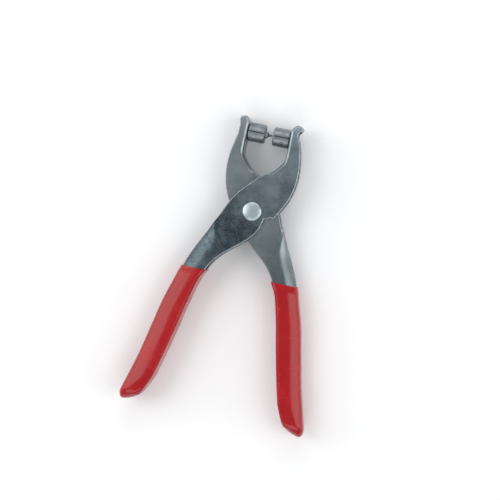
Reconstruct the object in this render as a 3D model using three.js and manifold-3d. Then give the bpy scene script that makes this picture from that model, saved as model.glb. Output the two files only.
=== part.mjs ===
// Eyelet pliers, lying flat on a table: two pressed-sheet levers on one rivet, with a pair of
// round dies in the jaws and a red sleeve on each handle.
// Millimetres. +Y points to the jaws, +Z away from the table. The origin is on the rivet's axis,
// at the table. The levers stand as the photograph shows them: sprung open.
import * as THREE from "three";
import { mergeVertices } from "three/addons/utils/BufferGeometryUtils.js";
import Module from "manifold-3d";

const wasm = await Module();
wasm.setup();

// Overall sizes
const JAW_LENGTH = 43;
const JAW_REACH = 17;
const FRONT_JAW_EXTRA = 0.5;
const REAR_JAW_EXTRA = -0.6;
const HANDLE_LENGTH = 98;
const HANDLE_REACH = 44;

// Pressed sheet
const SHEET = 1.5;
const CHANNEL_HEIGHT = 11.4;
const FOLD_RADIUS = 4;
const JAW_FOLD_RADIUS = 1.8;
const HANDLE_ROWS = 22;
const EDGE_STEPS = 18;
const CORNER_STEPS = 5;

// Grips
const GRIP_WALL = 0.7;
const GRIP_FACE_WALL = 1.2;
const GRIP_EDGE_RADIUS = 2.4;
const GRIP_LIP_WALL = 0.35;
const GRIP_LIP_FACE_WALL = 0.6;
const GRIP_LIP_LENGTH = 4;

// Rivet, and the sleeve that keeps the walls apart
const RIVET_RADIUS = 3;
const RIVET_HEAD_RADIUS = 4.4;
const RIVET_HEAD_HEIGHT = 1.4;
const SLEEVE_WALL = 1;
const ROUND_SIDES = 40;
const DOME_STEPS = 6;

// Dies
const DIE_HEIGHT_SHARE = 0.844;
const DIE_FACE_GAP = 3.9;
const COLLAR_RADIUS = 4.4;
const COLLAR_WALL = 1.6;
const COLLAR_SLOT = 0.5;
const COLLAR_CHAMFER = 0.4;
const TENON_RADIUS = 1.9;
const TAIL_RADIUS = 2.9;
const TAIL_LENGTH = 1.1;
const NOSE_RADIUS = 1.5;
const NOSE_TIP_RADIUS = 0.6;
const NOSE_LENGTH = 3.4;
const CUP_RADIUS = 2.4;
const CUP_DEPTH = 0.6;
const BORE_RADIUS = 1.9;
const BORE_DEPTH = 4;

// Return spring
const WIRE_RADIUS = 0.6;
const SPRING_PITCH = 2;
const SPRING_FULL_TURNS = 2;
const SPRING_STEPS = 8;
const SPRING_SIDES = 5;
const LEG_HEIGHT_SHARE = 0.173;

// Clearances
const WALL_GAP = 0.3;
const SEAT_GAP = 0.2;
const RUNNING_GAP = 0.2;
const OVERRUN = 1;
const MERGE_DISTANCE = 0.0001;

// Heights that follow: each lever has one wall outside the other lever's wall
const WALL_STEP = SHEET + WALL_GAP;
const OUTER_FACE = (CHANNEL_HEIGHT + WALL_STEP) / 2;
const INNER_FACE = CHANNEL_HEIGHT - OUTER_FACE;
const INSIDE_FACE = INNER_FACE - SHEET;
const MID_HEIGHT = OUTER_FACE + SEAT_GAP + GRIP_FACE_WALL;

// The inner edge of the jaw from the crotch up, as shares of its reach and its length
const jawInnerShares = [
  [-0.018, 0.377],
  [0.176, 0.419],
  [0.329, 0.465],
  [0.524, 0.558],
  [0.585, 0.612],
  [0.594, 0.698],
  [0.588, 0.884],
  [0.594, 0.944],
];
// The round tip and the outer edge, the same way, with each lever's own reach
const jawTipShares = [
  [0.706, 0.998],
  [0.859, 0.984],
  [0.882, 0.944],
];
const jawOuterShares = [
  [0.882, 0.944],
  [0.829, 0.893],
  [0.871, 0.791],
  [0.935, 0.674],
  [0.988, 0.547],
  [0.994, 0.419],
  [0.953, 0.291],
  [0.859, 0.17],
  [0.741, 0.074],
  [0.6, -0.033],
];
const notchShares = [
  [0.512, -0.028],
  [0.412, -0.058],
  [0.353, -0.053],
];
const shoulderShares = [
  [-0.818, -0.07],
  [-0.747, 0],
  [-0.624, 0.093],
  [-0.465, 0.186],
  [-0.247, 0.279],
  [-0.018, 0.377],
];
// The share of the jaw's edge that has no folded wall, at the crotch
const webStartShare = 0.08;

// The handle: how far down it is, its outer edge and its inner edge
const handleShares = [
  [0.071, -0.357, 0.114],
  [0.122, -0.418, 0.039],
  [0.173, -0.48, -0.084],
  [0.224, -0.536, -0.218],
  [0.276, -0.586, -0.316],
  [0.316, -0.616, -0.364],
  [0.367, -0.643, -0.43],
  [0.49, -0.725, -0.502],
  [0.612, -0.784, -0.559],
  [0.776, -0.864, -0.643],
  [0.918, -0.952, -0.727],
];
const GRIP_START_SHARE = 0.306;
// The grip's rounded end: the same three, then its share of the grip's full thickness
const gripEndShares = [
  [0.93, -0.981, -0.727, 1],
  [0.952, -0.993, -0.758, 0.96],
  [0.975, -0.998, -0.815, 0.86],
  [0.992, -0.989, -0.882, 0.7],
  [1, -0.973, -0.936, 0.5],
];

// A geometry as a manifold solid: only its positions, with the shared corners merged
function toSolid(geometry) {
  const bare = geometry.clone();
  bare.deleteAttribute("normal");
  bare.deleteAttribute("uv");
  const merged = mergeVertices(bare, MERGE_DISTANCE);
  return new wasm.Manifold(
    new wasm.Mesh({
      numProp: 3,
      vertProperties: new Float32Array(merged.attributes.position.array),
      triVerts: new Uint32Array(merged.index.array),
    }),
  );
}

function fromSolid(solid) {
  const mesh = solid.getMesh();
  const geometry = new THREE.BufferGeometry();
  geometry.setAttribute("position", new THREE.BufferAttribute(mesh.vertProperties, 3));
  geometry.setIndex(new THREE.BufferAttribute(mesh.triVerts, 1));
  const faceted = geometry.toNonIndexed();
  faceted.computeVertexNormals();
  return faceted;
}

function scaled(shares, reach, length) {
  return shares.map(([x, y]) => new THREE.Vector2(x * reach, y * length));
}

function smooth(points, steps) {
  return new THREE.SplineCurve(points).getPoints(steps);
}

// The jaw's edge from the crotch to the end of the folded wall round the tip
function jawEdge(reach) {
  const inner = scaled(jawInnerShares, JAW_REACH, JAW_LENGTH);
  return smooth([...inner, ...scaled(jawTipShares, reach, JAW_LENGTH)], 3 * EDGE_STEPS);
}

function plate(points, low, thickness) {
  const geometry = new THREE.ExtrudeGeometry(new THREE.Shape(points), {
    depth: thickness,
    bevelEnabled: false,
  });
  return toSolid(geometry.translate(0, 0, low));
}

// The directions from each point of the jaw's edge into the sheet
function inwards(points) {
  return points.map((_, i) => {
    const before = points[Math.max(i - 1, 0)];
    const after = points[Math.min(i + 1, points.length - 1)];
    const along = after.clone().sub(before).normalize();
    return new THREE.Vector2(along.y, -along.x);
  });
}

// A strip of sheet on edge: its outer line, and the same line moved inwards by the sheet
function strip(points, thickness) {
  const normals = inwards(points);
  const inside = points.map((point, i) => point.clone().addScaledVector(normals[i], thickness));
  return [...points, ...inside.reverse()];
}

// What a fold takes off the square corner between a face and the jaw's edge. The side is 1 for
// the upper face and -1 for the lower one.
function foldCutter(points, face, side) {
  const normals = inwards(points);
  const arc = Array.from({ length: CORNER_STEPS + 1 }, (_, i) => {
    const angle = (i / CORNER_STEPS) * 0.5 * Math.PI;
    return [
      JAW_FOLD_RADIUS * (1 - Math.sin(angle)),
      JAW_FOLD_RADIUS * (1 - Math.cos(angle)),
    ];
  });
  const profile = [
    [-OVERRUN, -OVERRUN],
    [JAW_FOLD_RADIUS, -OVERRUN],
    ...arc,
    [-OVERRUN, JAW_FOLD_RADIUS],
  ];
  const rings = points.map((point, i) =>
    profile.map(([across, down]) => {
      const at = point.clone().addScaledVector(normals[i], across);
      return [at.x, at.y, face - side * down];
    }),
  );
  return toSolid(loft(side > 0 ? rings : rings.reverse()));
}

// One rounded rectangle standing across the handle. A radius of zero leaves a square corner.
function section({ y, left, right, low, high, leftRadius, rightRadius }) {
  const corners = [
    [left, low, leftRadius, Math.PI],
    [right, low, rightRadius, 1.5 * Math.PI],
    [right, high, rightRadius, 0],
    [left, high, leftRadius, 0.5 * Math.PI],
  ];
  return corners.flatMap(([x, z, radius, start]) => {
    const steps = radius > 0 ? CORNER_STEPS : 0;
    const centreX = x === left ? left + radius : right - radius;
    const centreZ = z === low ? low + radius : high - radius;
    return Array.from({ length: steps + 1 }, (_, i) => {
      const angle = start + (steps ? (i / steps) * 0.5 * Math.PI : 0);
      return [
        centreX + radius * Math.cos(angle),
        y,
        centreZ + radius * Math.sin(angle),
      ];
    });
  });
}

// A solid through rings of points, all with the same count. A fan from the ring's first point
// closes each end.
function loft(rings) {
  const count = rings[0].length;
  const positions = rings.flat(2);
  const index = [];
  rings.slice(1).forEach((_, r) => {
    for (let i = 0; i < count; i += 1) {
      const next = (i + 1) % count;
      const [a, b] = [r * count + i, r * count + next];
      index.push(a, b, a + count, b, b + count, a + count);
    }
  });
  [0, rings.length - 1].forEach((r) => {
    for (let i = 1; i < count - 1; i += 1) {
      const pair = [r * count + i, r * count + i + 1];
      index.push(r * count, ...(r === 0 ? pair.reverse() : pair));
    }
  });
  const geometry = new THREE.BufferGeometry();
  geometry.setAttribute("position", new THREE.Float32BufferAttribute(positions, 3));
  geometry.setIndex(index);
  return geometry;
}

// The handle's rows, as {y, outer, inner} from the shoulder down
function handleRows() {
  const points = handleShares.map(
    ([down, outer, inner]) =>
      new THREE.Vector3(outer * HANDLE_REACH, -down * HANDLE_LENGTH, inner * HANDLE_REACH),
  );
  return new THREE.CatmullRomCurve3(points)
    .getPoints(HANDLE_ROWS)
    .map((p) => ({ y: p.y, outer: p.x, inner: p.z }));
}

const ROWS = handleRows();
const GRIP_TOP = -GRIP_START_SHARE * HANDLE_LENGTH;

// The handle's edges at one height, between two rows
function edgesAt(y) {
  const next = ROWS.findIndex((row) => row.y <= y);
  const [above, below] = [ROWS[next - 1], ROWS[next]];
  const share = (above.y - y) / (above.y - below.y);
  return {
    y,
    outer: above.outer + share * (below.outer - above.outer),
    inner: above.inner + share * (below.inner - above.inner),
  };
}

// A turned piece: its profile of [radius, height] about +Z
function turned(profile) {
  const points = profile.map(([radius, height]) => new THREE.Vector2(radius, height));
  return new THREE.LatheGeometry(points, ROUND_SIDES).rotateX(Math.PI / 2);
}

// The web's outer face at the height of the dies, and the middle of the die's axis
const DIE_Y = DIE_HEIGHT_SHARE * JAW_LENGTH;
const WEB_FACE = jawEdge(JAW_REACH).find((point) => point.y >= DIE_Y).x;

// A lever lying about the middle plane, right jaw and left handle, its outer wall to +Z
function leverSolid(reach) {
  const high = OUTER_FACE;
  const low = -INNER_FACE;
  const edge = jawEdge(reach);
  const jawOuter = smooth(scaled(jawOuterShares, reach, JAW_LENGTH), 2 * EDGE_STEPS);
  const shoulder = smooth(scaled(shoulderShares, JAW_REACH, JAW_LENGTH), EDGE_STEPS);
  const notch = scaled(notchShares, JAW_REACH, JAW_LENGTH);
  const tongue = ROWS.slice(0, 3);
  const outline = [
    ...edge.slice(1),
    ...jawOuter.slice(1),
    ...notch,
    ...tongue.map((row) => new THREE.Vector2(row.inner, row.y)),
    ...tongue.reverse().map((row) => new THREE.Vector2(row.outer + FOLD_RADIUS, row.y)),
    new THREE.Vector2(ROWS[0].outer, ROWS[0].y),
    ...shoulder,
  ].reverse();
  const folded = edge.slice(Math.round(webStartShare * edge.length));
  const web = strip(folded, SHEET);
  const channel = (inset) =>
    ROWS.map((row, i) => {
      const end = i === 0 ? 1 : i === ROWS.length - 1 ? -1 : 0;
      return section({
        y: row.y + (inset > 0 ? end * OVERRUN : 0),
        left: row.outer + inset,
        right: row.inner + (inset > 0 ? OVERRUN : 0),
        low: low + inset,
        high: high - inset,
        leftRadius: FOLD_RADIUS - inset,
        rightRadius: 0,
      });
    });
  const hole = (radius) =>
    toSolid(turned([
      [0, -CHANNEL_HEIGHT],
      [radius, -CHANNEL_HEIGHT],
      [radius, CHANNEL_HEIGHT],
      [0, CHANNEL_HEIGHT],
    ]));
  const dieHole = toSolid(
    turned([
      [0, -OVERRUN],
      [TENON_RADIUS + SEAT_GAP, -OVERRUN],
      [TENON_RADIUS + SEAT_GAP, SHEET + OVERRUN],
      [0, SHEET + OVERRUN],
    ])
      .rotateY(Math.PI / 2)
      .translate(WEB_FACE, DIE_Y, 0),
  );
  return toSolid(loft(channel(0)))
    .subtract(toSolid(loft(channel(SHEET))))
    .add(plate(outline, high - SHEET, SHEET))
    .add(plate(outline, low, SHEET))
    .add(plate(web.reverse(), low, CHANNEL_HEIGHT))
    .subtract(foldCutter(folded, high, 1))
    .subtract(foldCutter(folded, low, -1))
    .subtract(hole(RIVET_RADIUS + RUNNING_GAP))
    .subtract(dieHole);
}

// A grip about the front lever's handle: a closed sleeve less the handle and its gap
function gripSolid() {
  const middle = (OUTER_FACE - INNER_FACE) / 2;
  const mouth = edgesAt(GRIP_TOP);
  const below = ROWS.filter((row) => row.y < GRIP_TOP);
  const ring = (row, side, face, shift = 0) =>
    section({
      y: row.y + shift,
      left: row.outer - side,
      right: row.inner + side,
      low: middle - (CHANNEL_HEIGHT / 2 + face),
      high: middle + (CHANNEL_HEIGHT / 2 + face),
      leftRadius: FOLD_RADIUS + side,
      rightRadius: side > SEAT_GAP ? GRIP_EDGE_RADIUS : 0,
    });
  const side = SEAT_GAP + GRIP_WALL;
  const face = SEAT_GAP + GRIP_FACE_WALL;
  const end = gripEndShares.map(([down, outer, inner, thickness]) => {
    const half = thickness * (CHANNEL_HEIGHT / 2 + face);
    const [left, right] = [outer * HANDLE_REACH, inner * HANDLE_REACH];
    const width = right - left;
    return section({
      y: -down * HANDLE_LENGTH,
      left,
      right,
      low: middle - half,
      high: middle + half,
      leftRadius: Math.min(FOLD_RADIUS + side, 0.45 * width, half),
      rightRadius: Math.min(GRIP_EDGE_RADIUS, 0.45 * width, half),
    });
  });
  const lipEnd = GRIP_TOP - GRIP_LIP_LENGTH;
  const full = [edgesAt(lipEnd), ...below.filter((row) => row.y < lipEnd)];
  const outside = [
    ring(mouth, SEAT_GAP + GRIP_LIP_WALL, SEAT_GAP + GRIP_LIP_FACE_WALL),
    ...full.map((row) => ring(row, side, face)),
    ...end,
  ];
  const last = below[below.length - 1];
  const inside = [
    ring(mouth, SEAT_GAP, SEAT_GAP, OVERRUN),
    ring(mouth, SEAT_GAP, SEAT_GAP),
    ...below.map((row) => ring(row, SEAT_GAP, SEAT_GAP)),
    ring(last, SEAT_GAP, SEAT_GAP, -WALL_GAP),
  ];
  return toSolid(loft(outside)).subtract(toSolid(loft(inside)));
}

// The domed head shows; the flat tail lies on the table
function rivetGeometry() {
  const seat = OUTER_FACE + SEAT_GAP;
  const dome = Array.from({ length: DOME_STEPS + 1 }, (_, i) => {
    const angle = (i / DOME_STEPS) * 0.5 * Math.PI;
    return [
      RIVET_HEAD_RADIUS * Math.cos(angle),
      seat + RIVET_HEAD_HEIGHT * Math.sin(angle),
    ];
  });
  dome[DOME_STEPS][0] = 0;
  return turned([
    [0, -MID_HEIGHT],
    [RIVET_HEAD_RADIUS, -MID_HEIGHT],
    [RIVET_HEAD_RADIUS, -seat],
    [RIVET_RADIUS, -seat],
    [RIVET_RADIUS, seat],
    ...dome,
  ]);
}

function sleeveGeometry() {
  const half = INSIDE_FACE - SEAT_GAP;
  const inner = RIVET_RADIUS + RUNNING_GAP;
  const outer = inner + SLEEVE_WALL;
  return turned([
    [inner, -half],
    [outer, -half],
    [outer, half],
    [inner, half],
    [inner, -half],
  ]);
}

// A die points to +Z here: its face at zero, its tail inside the channel
const COLLAR_LENGTH = WEB_FACE - SEAT_GAP - DIE_FACE_GAP / 2;
const SHANK_RADIUS = COLLAR_RADIUS - COLLAR_WALL - SEAT_GAP;

function shankProfile() {
  const seat = -COLLAR_LENGTH;
  const tailTop = seat - SEAT_GAP - SHEET - SEAT_GAP;
  return [
    [0, tailTop - TAIL_LENGTH],
    [TAIL_RADIUS, tailTop - TAIL_LENGTH],
    [TAIL_RADIUS, tailTop],
    [TENON_RADIUS, tailTop],
    [TENON_RADIUS, seat],
    [SHANK_RADIUS, seat],
  ];
}

function noseGeometry() {
  return turned([
    ...shankProfile(),
    [SHANK_RADIUS, 0],
    [NOSE_RADIUS, 0],
    [NOSE_TIP_RADIUS, NOSE_LENGTH],
    [0, NOSE_LENGTH],
  ]);
}

function anvilGeometry() {
  return turned([
    ...shankProfile(),
    [SHANK_RADIUS, 0],
    [CUP_RADIUS, 0],
    [BORE_RADIUS, -CUP_DEPTH],
    [BORE_RADIUS, -BORE_DEPTH],
    [0, -BORE_DEPTH],
  ]);
}

function collarGeometry() {
  const inner = COLLAR_RADIUS - COLLAR_WALL;
  const ring = toSolid(turned([
    [inner, -COLLAR_LENGTH],
    [COLLAR_RADIUS - COLLAR_CHAMFER, -COLLAR_LENGTH],
    [COLLAR_RADIUS, COLLAR_CHAMFER - COLLAR_LENGTH],
    [COLLAR_RADIUS, -COLLAR_CHAMFER],
    [COLLAR_RADIUS - COLLAR_CHAMFER, 0],
    [inner, 0],
    [inner, -COLLAR_LENGTH],
  ]));
  const slot = new THREE.BoxGeometry(
    COLLAR_RADIUS,
    COLLAR_SLOT,
    COLLAR_LENGTH + 2 * OVERRUN,
  ).translate(COLLAR_RADIUS / 2 + TENON_RADIUS, 0, -COLLAR_LENGTH / 2);
  return fromSolid(ring.subtract(toSolid(slot)));
}

// The line of the spring: a straight leg in, the turns, and a straight leg out
function springLine() {
  const leg = edgesAt(-LEG_HEIGHT_SHARE * HANDLE_LENGTH);
  const reach = leg.outer + SHEET + 2 * (WALL_GAP + WIRE_RADIUS);
  const far = new THREE.Vector2(reach, leg.y);
  const radius = RIVET_RADIUS + RUNNING_GAP + SLEEVE_WALL + WALL_GAP + WIRE_RADIUS;
  const tangent = Math.acos(radius / far.length());
  const end = Math.atan2(far.y, far.x) - tangent + 2 * Math.PI;
  const start = Math.PI - end;
  const sweep = end - start + 2 * Math.PI * SPRING_FULL_TURNS;
  const rise = (SPRING_PITCH * sweep) / (2 * Math.PI);
  const steps = Math.round((sweep / (2 * Math.PI)) * SPRING_STEPS);
  const turns = Array.from({ length: steps + 1 }, (_, i) => {
    const angle = start + (sweep * i) / steps;
    return new THREE.Vector3(
      radius * Math.cos(angle),
      radius * Math.sin(angle),
      rise * (i / steps - 0.5),
    );
  });
  return {
    line: [
      new THREE.Vector3(-far.x, far.y, -rise / 2),
      ...turns,
      new THREE.Vector3(far.x, far.y, rise / 2),
    ],
    sweep,
    steps,
  };
}

// One unbroken tube: a ring of sides about each point, square to the line there
function springGeometry() {
  const { line } = springLine();
  const up = new THREE.Vector3(0, 0, 1);
  const rings = line.map((point, i) => {
    const before = line[Math.max(i - 1, 0)];
    const after = line[Math.min(i + 1, line.length - 1)];
    const along = after.clone().sub(before).normalize();
    const across = along.clone().cross(up).normalize();
    const third = along.clone().cross(across);
    return Array.from({ length: SPRING_SIDES }, (_, k) => {
      const angle = (2 * Math.PI * k) / SPRING_SIDES;
      return point
        .clone()
        .addScaledVector(across, WIRE_RADIUS * Math.cos(angle))
        .addScaledVector(third, WIRE_RADIUS * Math.sin(angle))
        .toArray();
    });
  });
  return loft(rings).toNonIndexed();
}

// The spring's least gap to itself, between points of its line that are over half a turn apart
function springGap() {
  const { line, steps, sweep } = springLine();
  const apart = Math.round((0.6 * steps * 2 * Math.PI) / sweep);
  let least = Infinity;
  line.forEach((a, i) => {
    line.slice(i + apart).forEach((b) => {
      least = Math.min(least, a.distanceTo(b));
    });
  });
  return least - 2 * WIRE_RADIUS;
}

function material(color, roughness, metalness) {
  return new THREE.MeshStandardMaterial({ color, roughness, metalness });
}

function mesh(name, geometry, finish) {
  const made = new THREE.Mesh(geometry, finish);
  made.name = name;
  return made;
}

const darkSteel = () => material(0x8a939b, 0.38, 0.85);
const paleSteel = () => material(0xa9aeb3, 0.36, 0.85);
const brightSteel = () => material(0xd4d8dc, 0.28, 0.9);
const dieSteel = () => material(0xb9bdc0, 0.3, 0.9);
const redSleeve = () => material(0xb3121b, 0.28, 0);

const gripGeometry = fromSolid(gripSolid());
const collar = collarGeometry();

// The anvil's side: a group about the right jaw. The nose's side is the same group turned round.
function leverSide(parts) {
  const side = new THREE.Group();
  side.add(...parts);
  return side;
}

function dieGroup(parts) {
  const die = new THREE.Group();
  die.position.set(DIE_FACE_GAP / 2, DIE_Y, 0);
  die.rotation.y = -Math.PI / 2;
  die.add(...parts);
  return die;
}

const front = leverSide([
  mesh("front_lever", fromSolid(leverSolid(JAW_REACH + FRONT_JAW_EXTRA)), darkSteel()),
  mesh("front_grip", gripGeometry, redSleeve()),
  dieGroup([
    mesh("anvil_die", anvilGeometry(), dieSteel()),
    mesh("anvil_collar", collar, dieSteel()),
  ]),
]);

// The slot of the nose's collar faces the same way as the other once the lever is turned over
const turnedCollar = mesh("nose_collar", collar.clone(), dieSteel());
turnedCollar.rotation.z = Math.PI;
const rear = leverSide([
  mesh("rear_lever", fromSolid(leverSolid(JAW_REACH + REAR_JAW_EXTRA)), paleSteel()),
  mesh("rear_grip", gripGeometry.clone(), redSleeve()),
  dieGroup([mesh("nose_die", noseGeometry(), dieSteel()), turnedCollar]),
]);
rear.rotation.y = Math.PI;

const pliers = new THREE.Group();
pliers.add(
  front,
  rear,
  mesh("pivot_rivet", rivetGeometry(), brightSteel()),
  mesh("spacer_sleeve", sleeveGeometry(), dieSteel()),
  mesh("return_spring", springGeometry(), dieSteel()),
);
pliers.position.z = MID_HEIGHT;
console.log(`spring: least gap to itself ${springGap().toFixed(2)} mm`);

export default pliers;
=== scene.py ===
"""Eyelet pliers on a pale table: two folded-sheet levers on one rivet, two dies, two red sleeves.

Lengths in the tables are millimetres and are turned into metres as the meshes are made.
"""

import logging
from dataclasses import dataclass, field
from enum import Enum
from math import acos, asin, atan2, copysign, cos, hypot, pi, radians, sin, sqrt
from typing import Callable

import bmesh
import bpy
from bmesh.types import BMEdge, BMesh, BMVert
from bpy.types import Material, Mesh, Node, NodeSocket, Object
from mathutils import Matrix, Vector


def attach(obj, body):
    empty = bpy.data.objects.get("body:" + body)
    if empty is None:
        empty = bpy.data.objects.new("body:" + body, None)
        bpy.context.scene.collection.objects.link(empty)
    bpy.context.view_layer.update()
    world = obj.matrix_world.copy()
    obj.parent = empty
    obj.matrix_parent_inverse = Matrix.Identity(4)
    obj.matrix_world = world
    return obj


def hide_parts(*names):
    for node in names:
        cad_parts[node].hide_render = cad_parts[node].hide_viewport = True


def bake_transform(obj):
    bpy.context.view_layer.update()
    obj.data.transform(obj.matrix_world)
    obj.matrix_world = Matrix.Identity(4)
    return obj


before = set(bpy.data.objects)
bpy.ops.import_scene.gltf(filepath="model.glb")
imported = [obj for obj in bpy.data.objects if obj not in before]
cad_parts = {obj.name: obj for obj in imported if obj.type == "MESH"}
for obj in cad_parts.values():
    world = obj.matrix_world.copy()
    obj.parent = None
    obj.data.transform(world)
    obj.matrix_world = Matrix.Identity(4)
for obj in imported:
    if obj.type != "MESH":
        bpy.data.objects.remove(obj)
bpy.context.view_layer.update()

Colour = tuple[float, ...]
Profile = list[tuple[float, float]]

logging.basicConfig(level=logging.INFO, format="%(message)s")
log = logging.getLogger("pliers")

MM = 0.001

# The middle plane of the levers above the table
MID_HEIGHT = 8.0

# Points of a folded skin, and of a turned piece, that are closer than this become one
SKIN_WELD, TURNED_WELD = 0.002, 0.001

# How a piece is spun about the vertical axis
UPRIGHT = {"cent": (0.0, 0.0, 0.0), "axis": (0.0, 0.0, 1.0), "use_duplicate": False}


class Side(Enum):
    """Which of the two levers a piece belongs to. The value is its body's name."""

    FRONT = "front"
    REAR = "rear"

    def place(self) -> Matrix:
        """Gives the turn and lift that take a piece from the front lever's own frame.

        Returns:
            The matrix, in metres. The rear lever is the front one turned over.
        """
        lift = Matrix.Translation((0.0, 0.0, MID_HEIGHT * MM))
        if self is Side.FRONT:
            return lift
        return lift @ Matrix.Rotation(pi, 4, "Y")


# Outlines


def eased(share: float) -> float:
    """Gives a smooth rise from 0 to 1, held at its ends."""
    held = min(max(share, 0.0), 1.0)
    return held * held * (3 - 2 * held)


def spline(points: list[tuple[float, ...]], steps: int) -> list[Vector]:
    """Samples a smooth curve through given points.

    Args:
        points: The points, in order.
        steps: How many even steps to take along the list.

    Returns:
        steps + 1 points, the first and last on the ends of the list.
    """
    knots = [Vector(p) for p in points]
    last = len(knots) - 1
    found = []
    for k in range(steps + 1):
        along = last * k / steps
        i = min(int(along), last - 1)
        w = along - i
        before, a = knots[max(i - 1, 0)], knots[i]
        b, after = knots[i + 1], knots[min(i + 2, last)]
        leave, arrive = (b - before) * 0.5, (after - a) * 0.5
        found.append(
            (2 * a - 2 * b + leave + arrive) * w**3
            + (3 * b - 3 * a - 2 * leave - arrive) * w**2
            + leave * w
            + a
        )
    return found


@dataclass
class Outline:
    """A closed outline in plan, with what stands under each of its edges.

    An edge belongs to the point it starts from. Its fold is the radius of the bend between the
    faces and the wall under that edge, and an open edge has no wall. Near the height square_at
    the bends run in square to Y, so that a cut across the handle there is straight.

    A fold that ramps up starts from least_share of its radius. A bend takes at most bend_share
    of the outline's own radius, measured over bend_span points to each side, and is evened out
    bend_passes times. least_mitre keeps the offset of a sharp corner short.
    """

    points: list[Vector] = field(default_factory=list)
    folds: list[float] = field(default_factory=list)
    spreads: list[float] = field(default_factory=list)
    opens: list[bool] = field(default_factory=list)
    square_at: float | None = None
    square_reach: float = 12.0
    least_share: float = 0.03
    bend_share: float = 0.6
    bend_span: int = 3
    bend_passes: int = 12
    least_mitre: float = 0.5

    def run(
        self,
        points: list[Vector] | Profile,
        fold: float = 0.0,
        opened: bool = True,
        ramps: tuple[float, float] = (0.0, 0.0),
        spread: float = 1.0,
    ) -> None:
        """Adds a run of points whose edges are all alike.

        Args:
            points: The points, in millimetres.
            fold: The bend's radius along these edges.
            opened: Whether the wall under them is missing.
            ramps: How far the bend takes to reach its radius, from the start and to the end.
            spread: How much wider than high the bend is.
        """
        spots = [Vector((point[0], point[1])) for point in points]
        marks = [0.0]
        for a, b in zip(spots, spots[1:]):
            marks.append(marks[-1] + (b - a).length)
        for spot, mark in zip(spots, marks):
            share = 1.0
            for ramp, away in zip(ramps, (mark, marks[-1] - mark)):
                if ramp:
                    share *= self.least_share + (1 - self.least_share) * eased(away / ramp)
            self.points.append(spot)
            self.folds.append(fold * share)
            self.spreads.append(spread)
            self.opens.append(opened)

    def bends(self) -> list[float]:
        """Gives the folds, held below the outline's own radius where it turns outwards.

        Returns:
            The radius of the bend at each point, evened out along each walled run.
        """
        count, span, turn = len(self.points), self.bend_span, self.turn()
        held = list(self.folds)
        for i, point in enumerate(self.points):
            first = point - self.points[i - span]
            second = self.points[(i + span) % count] - point
            turned = first.angle_signed(second, 0.0) * -turn
            if held[i] and turned > 0.0:
                reach = (first.length + second.length) / 2 / turned
                held[i] = min(held[i], self.bend_share * reach)
        for _ in range(self.bend_passes):
            held = [
                min(fold, ((held[i - 1] or fold) + fold + (held[(i + 1) % count] or fold)) / 3)
                for i, fold in enumerate(held)
            ]
        return held

    def turn(self) -> float:
        """Gives 1 for an outline that runs anticlockwise, and else -1."""
        pairs = zip(self.points, self.points[1:] + self.points[:1])
        return copysign(1.0, sum(a.x * b.y - b.x * a.y for a, b in pairs))

    def inwards(self) -> list[Vector]:
        """Gives the inward direction at each point, from the walled edges that meet there.

        Returns:
            A vector for each point, longer than 1 at a corner, and of no length without walls.
        """
        count = len(self.points)
        turn = self.turn()
        found = []
        for i in range(count):
            total = Vector((0.0, 0.0))
            for start in (i - 1, i):
                if not self.opens[start]:
                    along = self.points[(start + 1) % count] - self.points[start]
                    total += Vector((-along.y, along.x)).normalized() * turn
            half = max(total.length / 2, self.least_mitre) if total.length > 1.0 else 1.0
            way = total.normalized() / half if total.length > 0.0 else total
            if self.square_at is not None and way.x:
                away = abs(self.points[i].y - self.square_at) / self.square_reach
                way = way.lerp(Vector((copysign(1.0, way.x), 0.0)), eased(1.0 - away))
            found.append(way)
        return found


# Meshes


def finish_object(name: str, mesh: Mesh, *materials: Material | None) -> Object:
    """Puts a mesh into the scene as an object at the origin, with its materials.

    Args:
        name: The object's name.
        mesh: Its mesh. The faces keep their material indices.
        materials: The material for each index.

    Returns:
        The object.
    """
    mesh.name = name
    kept = [polygon.material_index for polygon in mesh.polygons]
    mesh.materials.clear()
    for material in materials:
        mesh.materials.append(material)
    mesh.polygons.foreach_set("material_index", kept)
    obj = bpy.data.objects.new(name, mesh)
    bpy.context.scene.collection.objects.link(obj)
    return obj


def modify(mesh: Mesh, *steps: tuple[str, dict]) -> Mesh:
    """Runs a mesh through a list of modifiers.

    Args:
        mesh: The mesh to start from.
        steps: Each modifier's type and its settings, in order.

    Returns:
        The changed mesh.
    """
    obj = finish_object("work", mesh, None, None)
    for kind, settings in steps:
        modifier = obj.modifiers.new(kind.lower(), kind)
        for key, value in settings.items():
            setattr(modifier, key, value)
    graph = bpy.context.evaluated_depsgraph_get()
    graph.update()
    changed = bpy.data.meshes.new_from_object(obj.evaluated_get(graph), depsgraph=graph)
    bpy.data.objects.remove(obj, do_unlink=True)
    return changed


def smooth_shaded(mesh: Mesh, degrees: float = 32.0) -> Mesh:
    """Shades a mesh smooth, but for its sharp edges, with flats kept flat.

    Args:
        mesh: The mesh.
        degrees: The angle past which an edge is sharp.

    Returns:
        The shaded mesh.
    """
    for polygon in mesh.polygons:
        polygon.use_smooth = True
    mesh.set_sharp_from_angle(angle=radians(degrees))
    return modify(mesh, ("WEIGHTED_NORMAL", {"keep_sharp": True, "weight": 60}))


def mark_cuts(bm: BMesh, least: float = 0.25) -> None:
    """Gives a bevel weight to the open edges of a skin.

    Args:
        bm: The skin.
        least: Edges shorter than this, and the ones beside them, stay square.
    """
    weight = bm.edges.layers.float.new("bevel_weight_edge")
    cuts = [edge for edge in bm.edges if edge.is_boundary]
    short = {edge for edge in cuts if edge.calc_length() < least * MM}
    near = {vert for edge in short for vert in edge.verts}
    for edge in cuts:
        if edge not in short and not near.intersection(edge.verts):
            edge[weight] = 1.0


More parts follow.
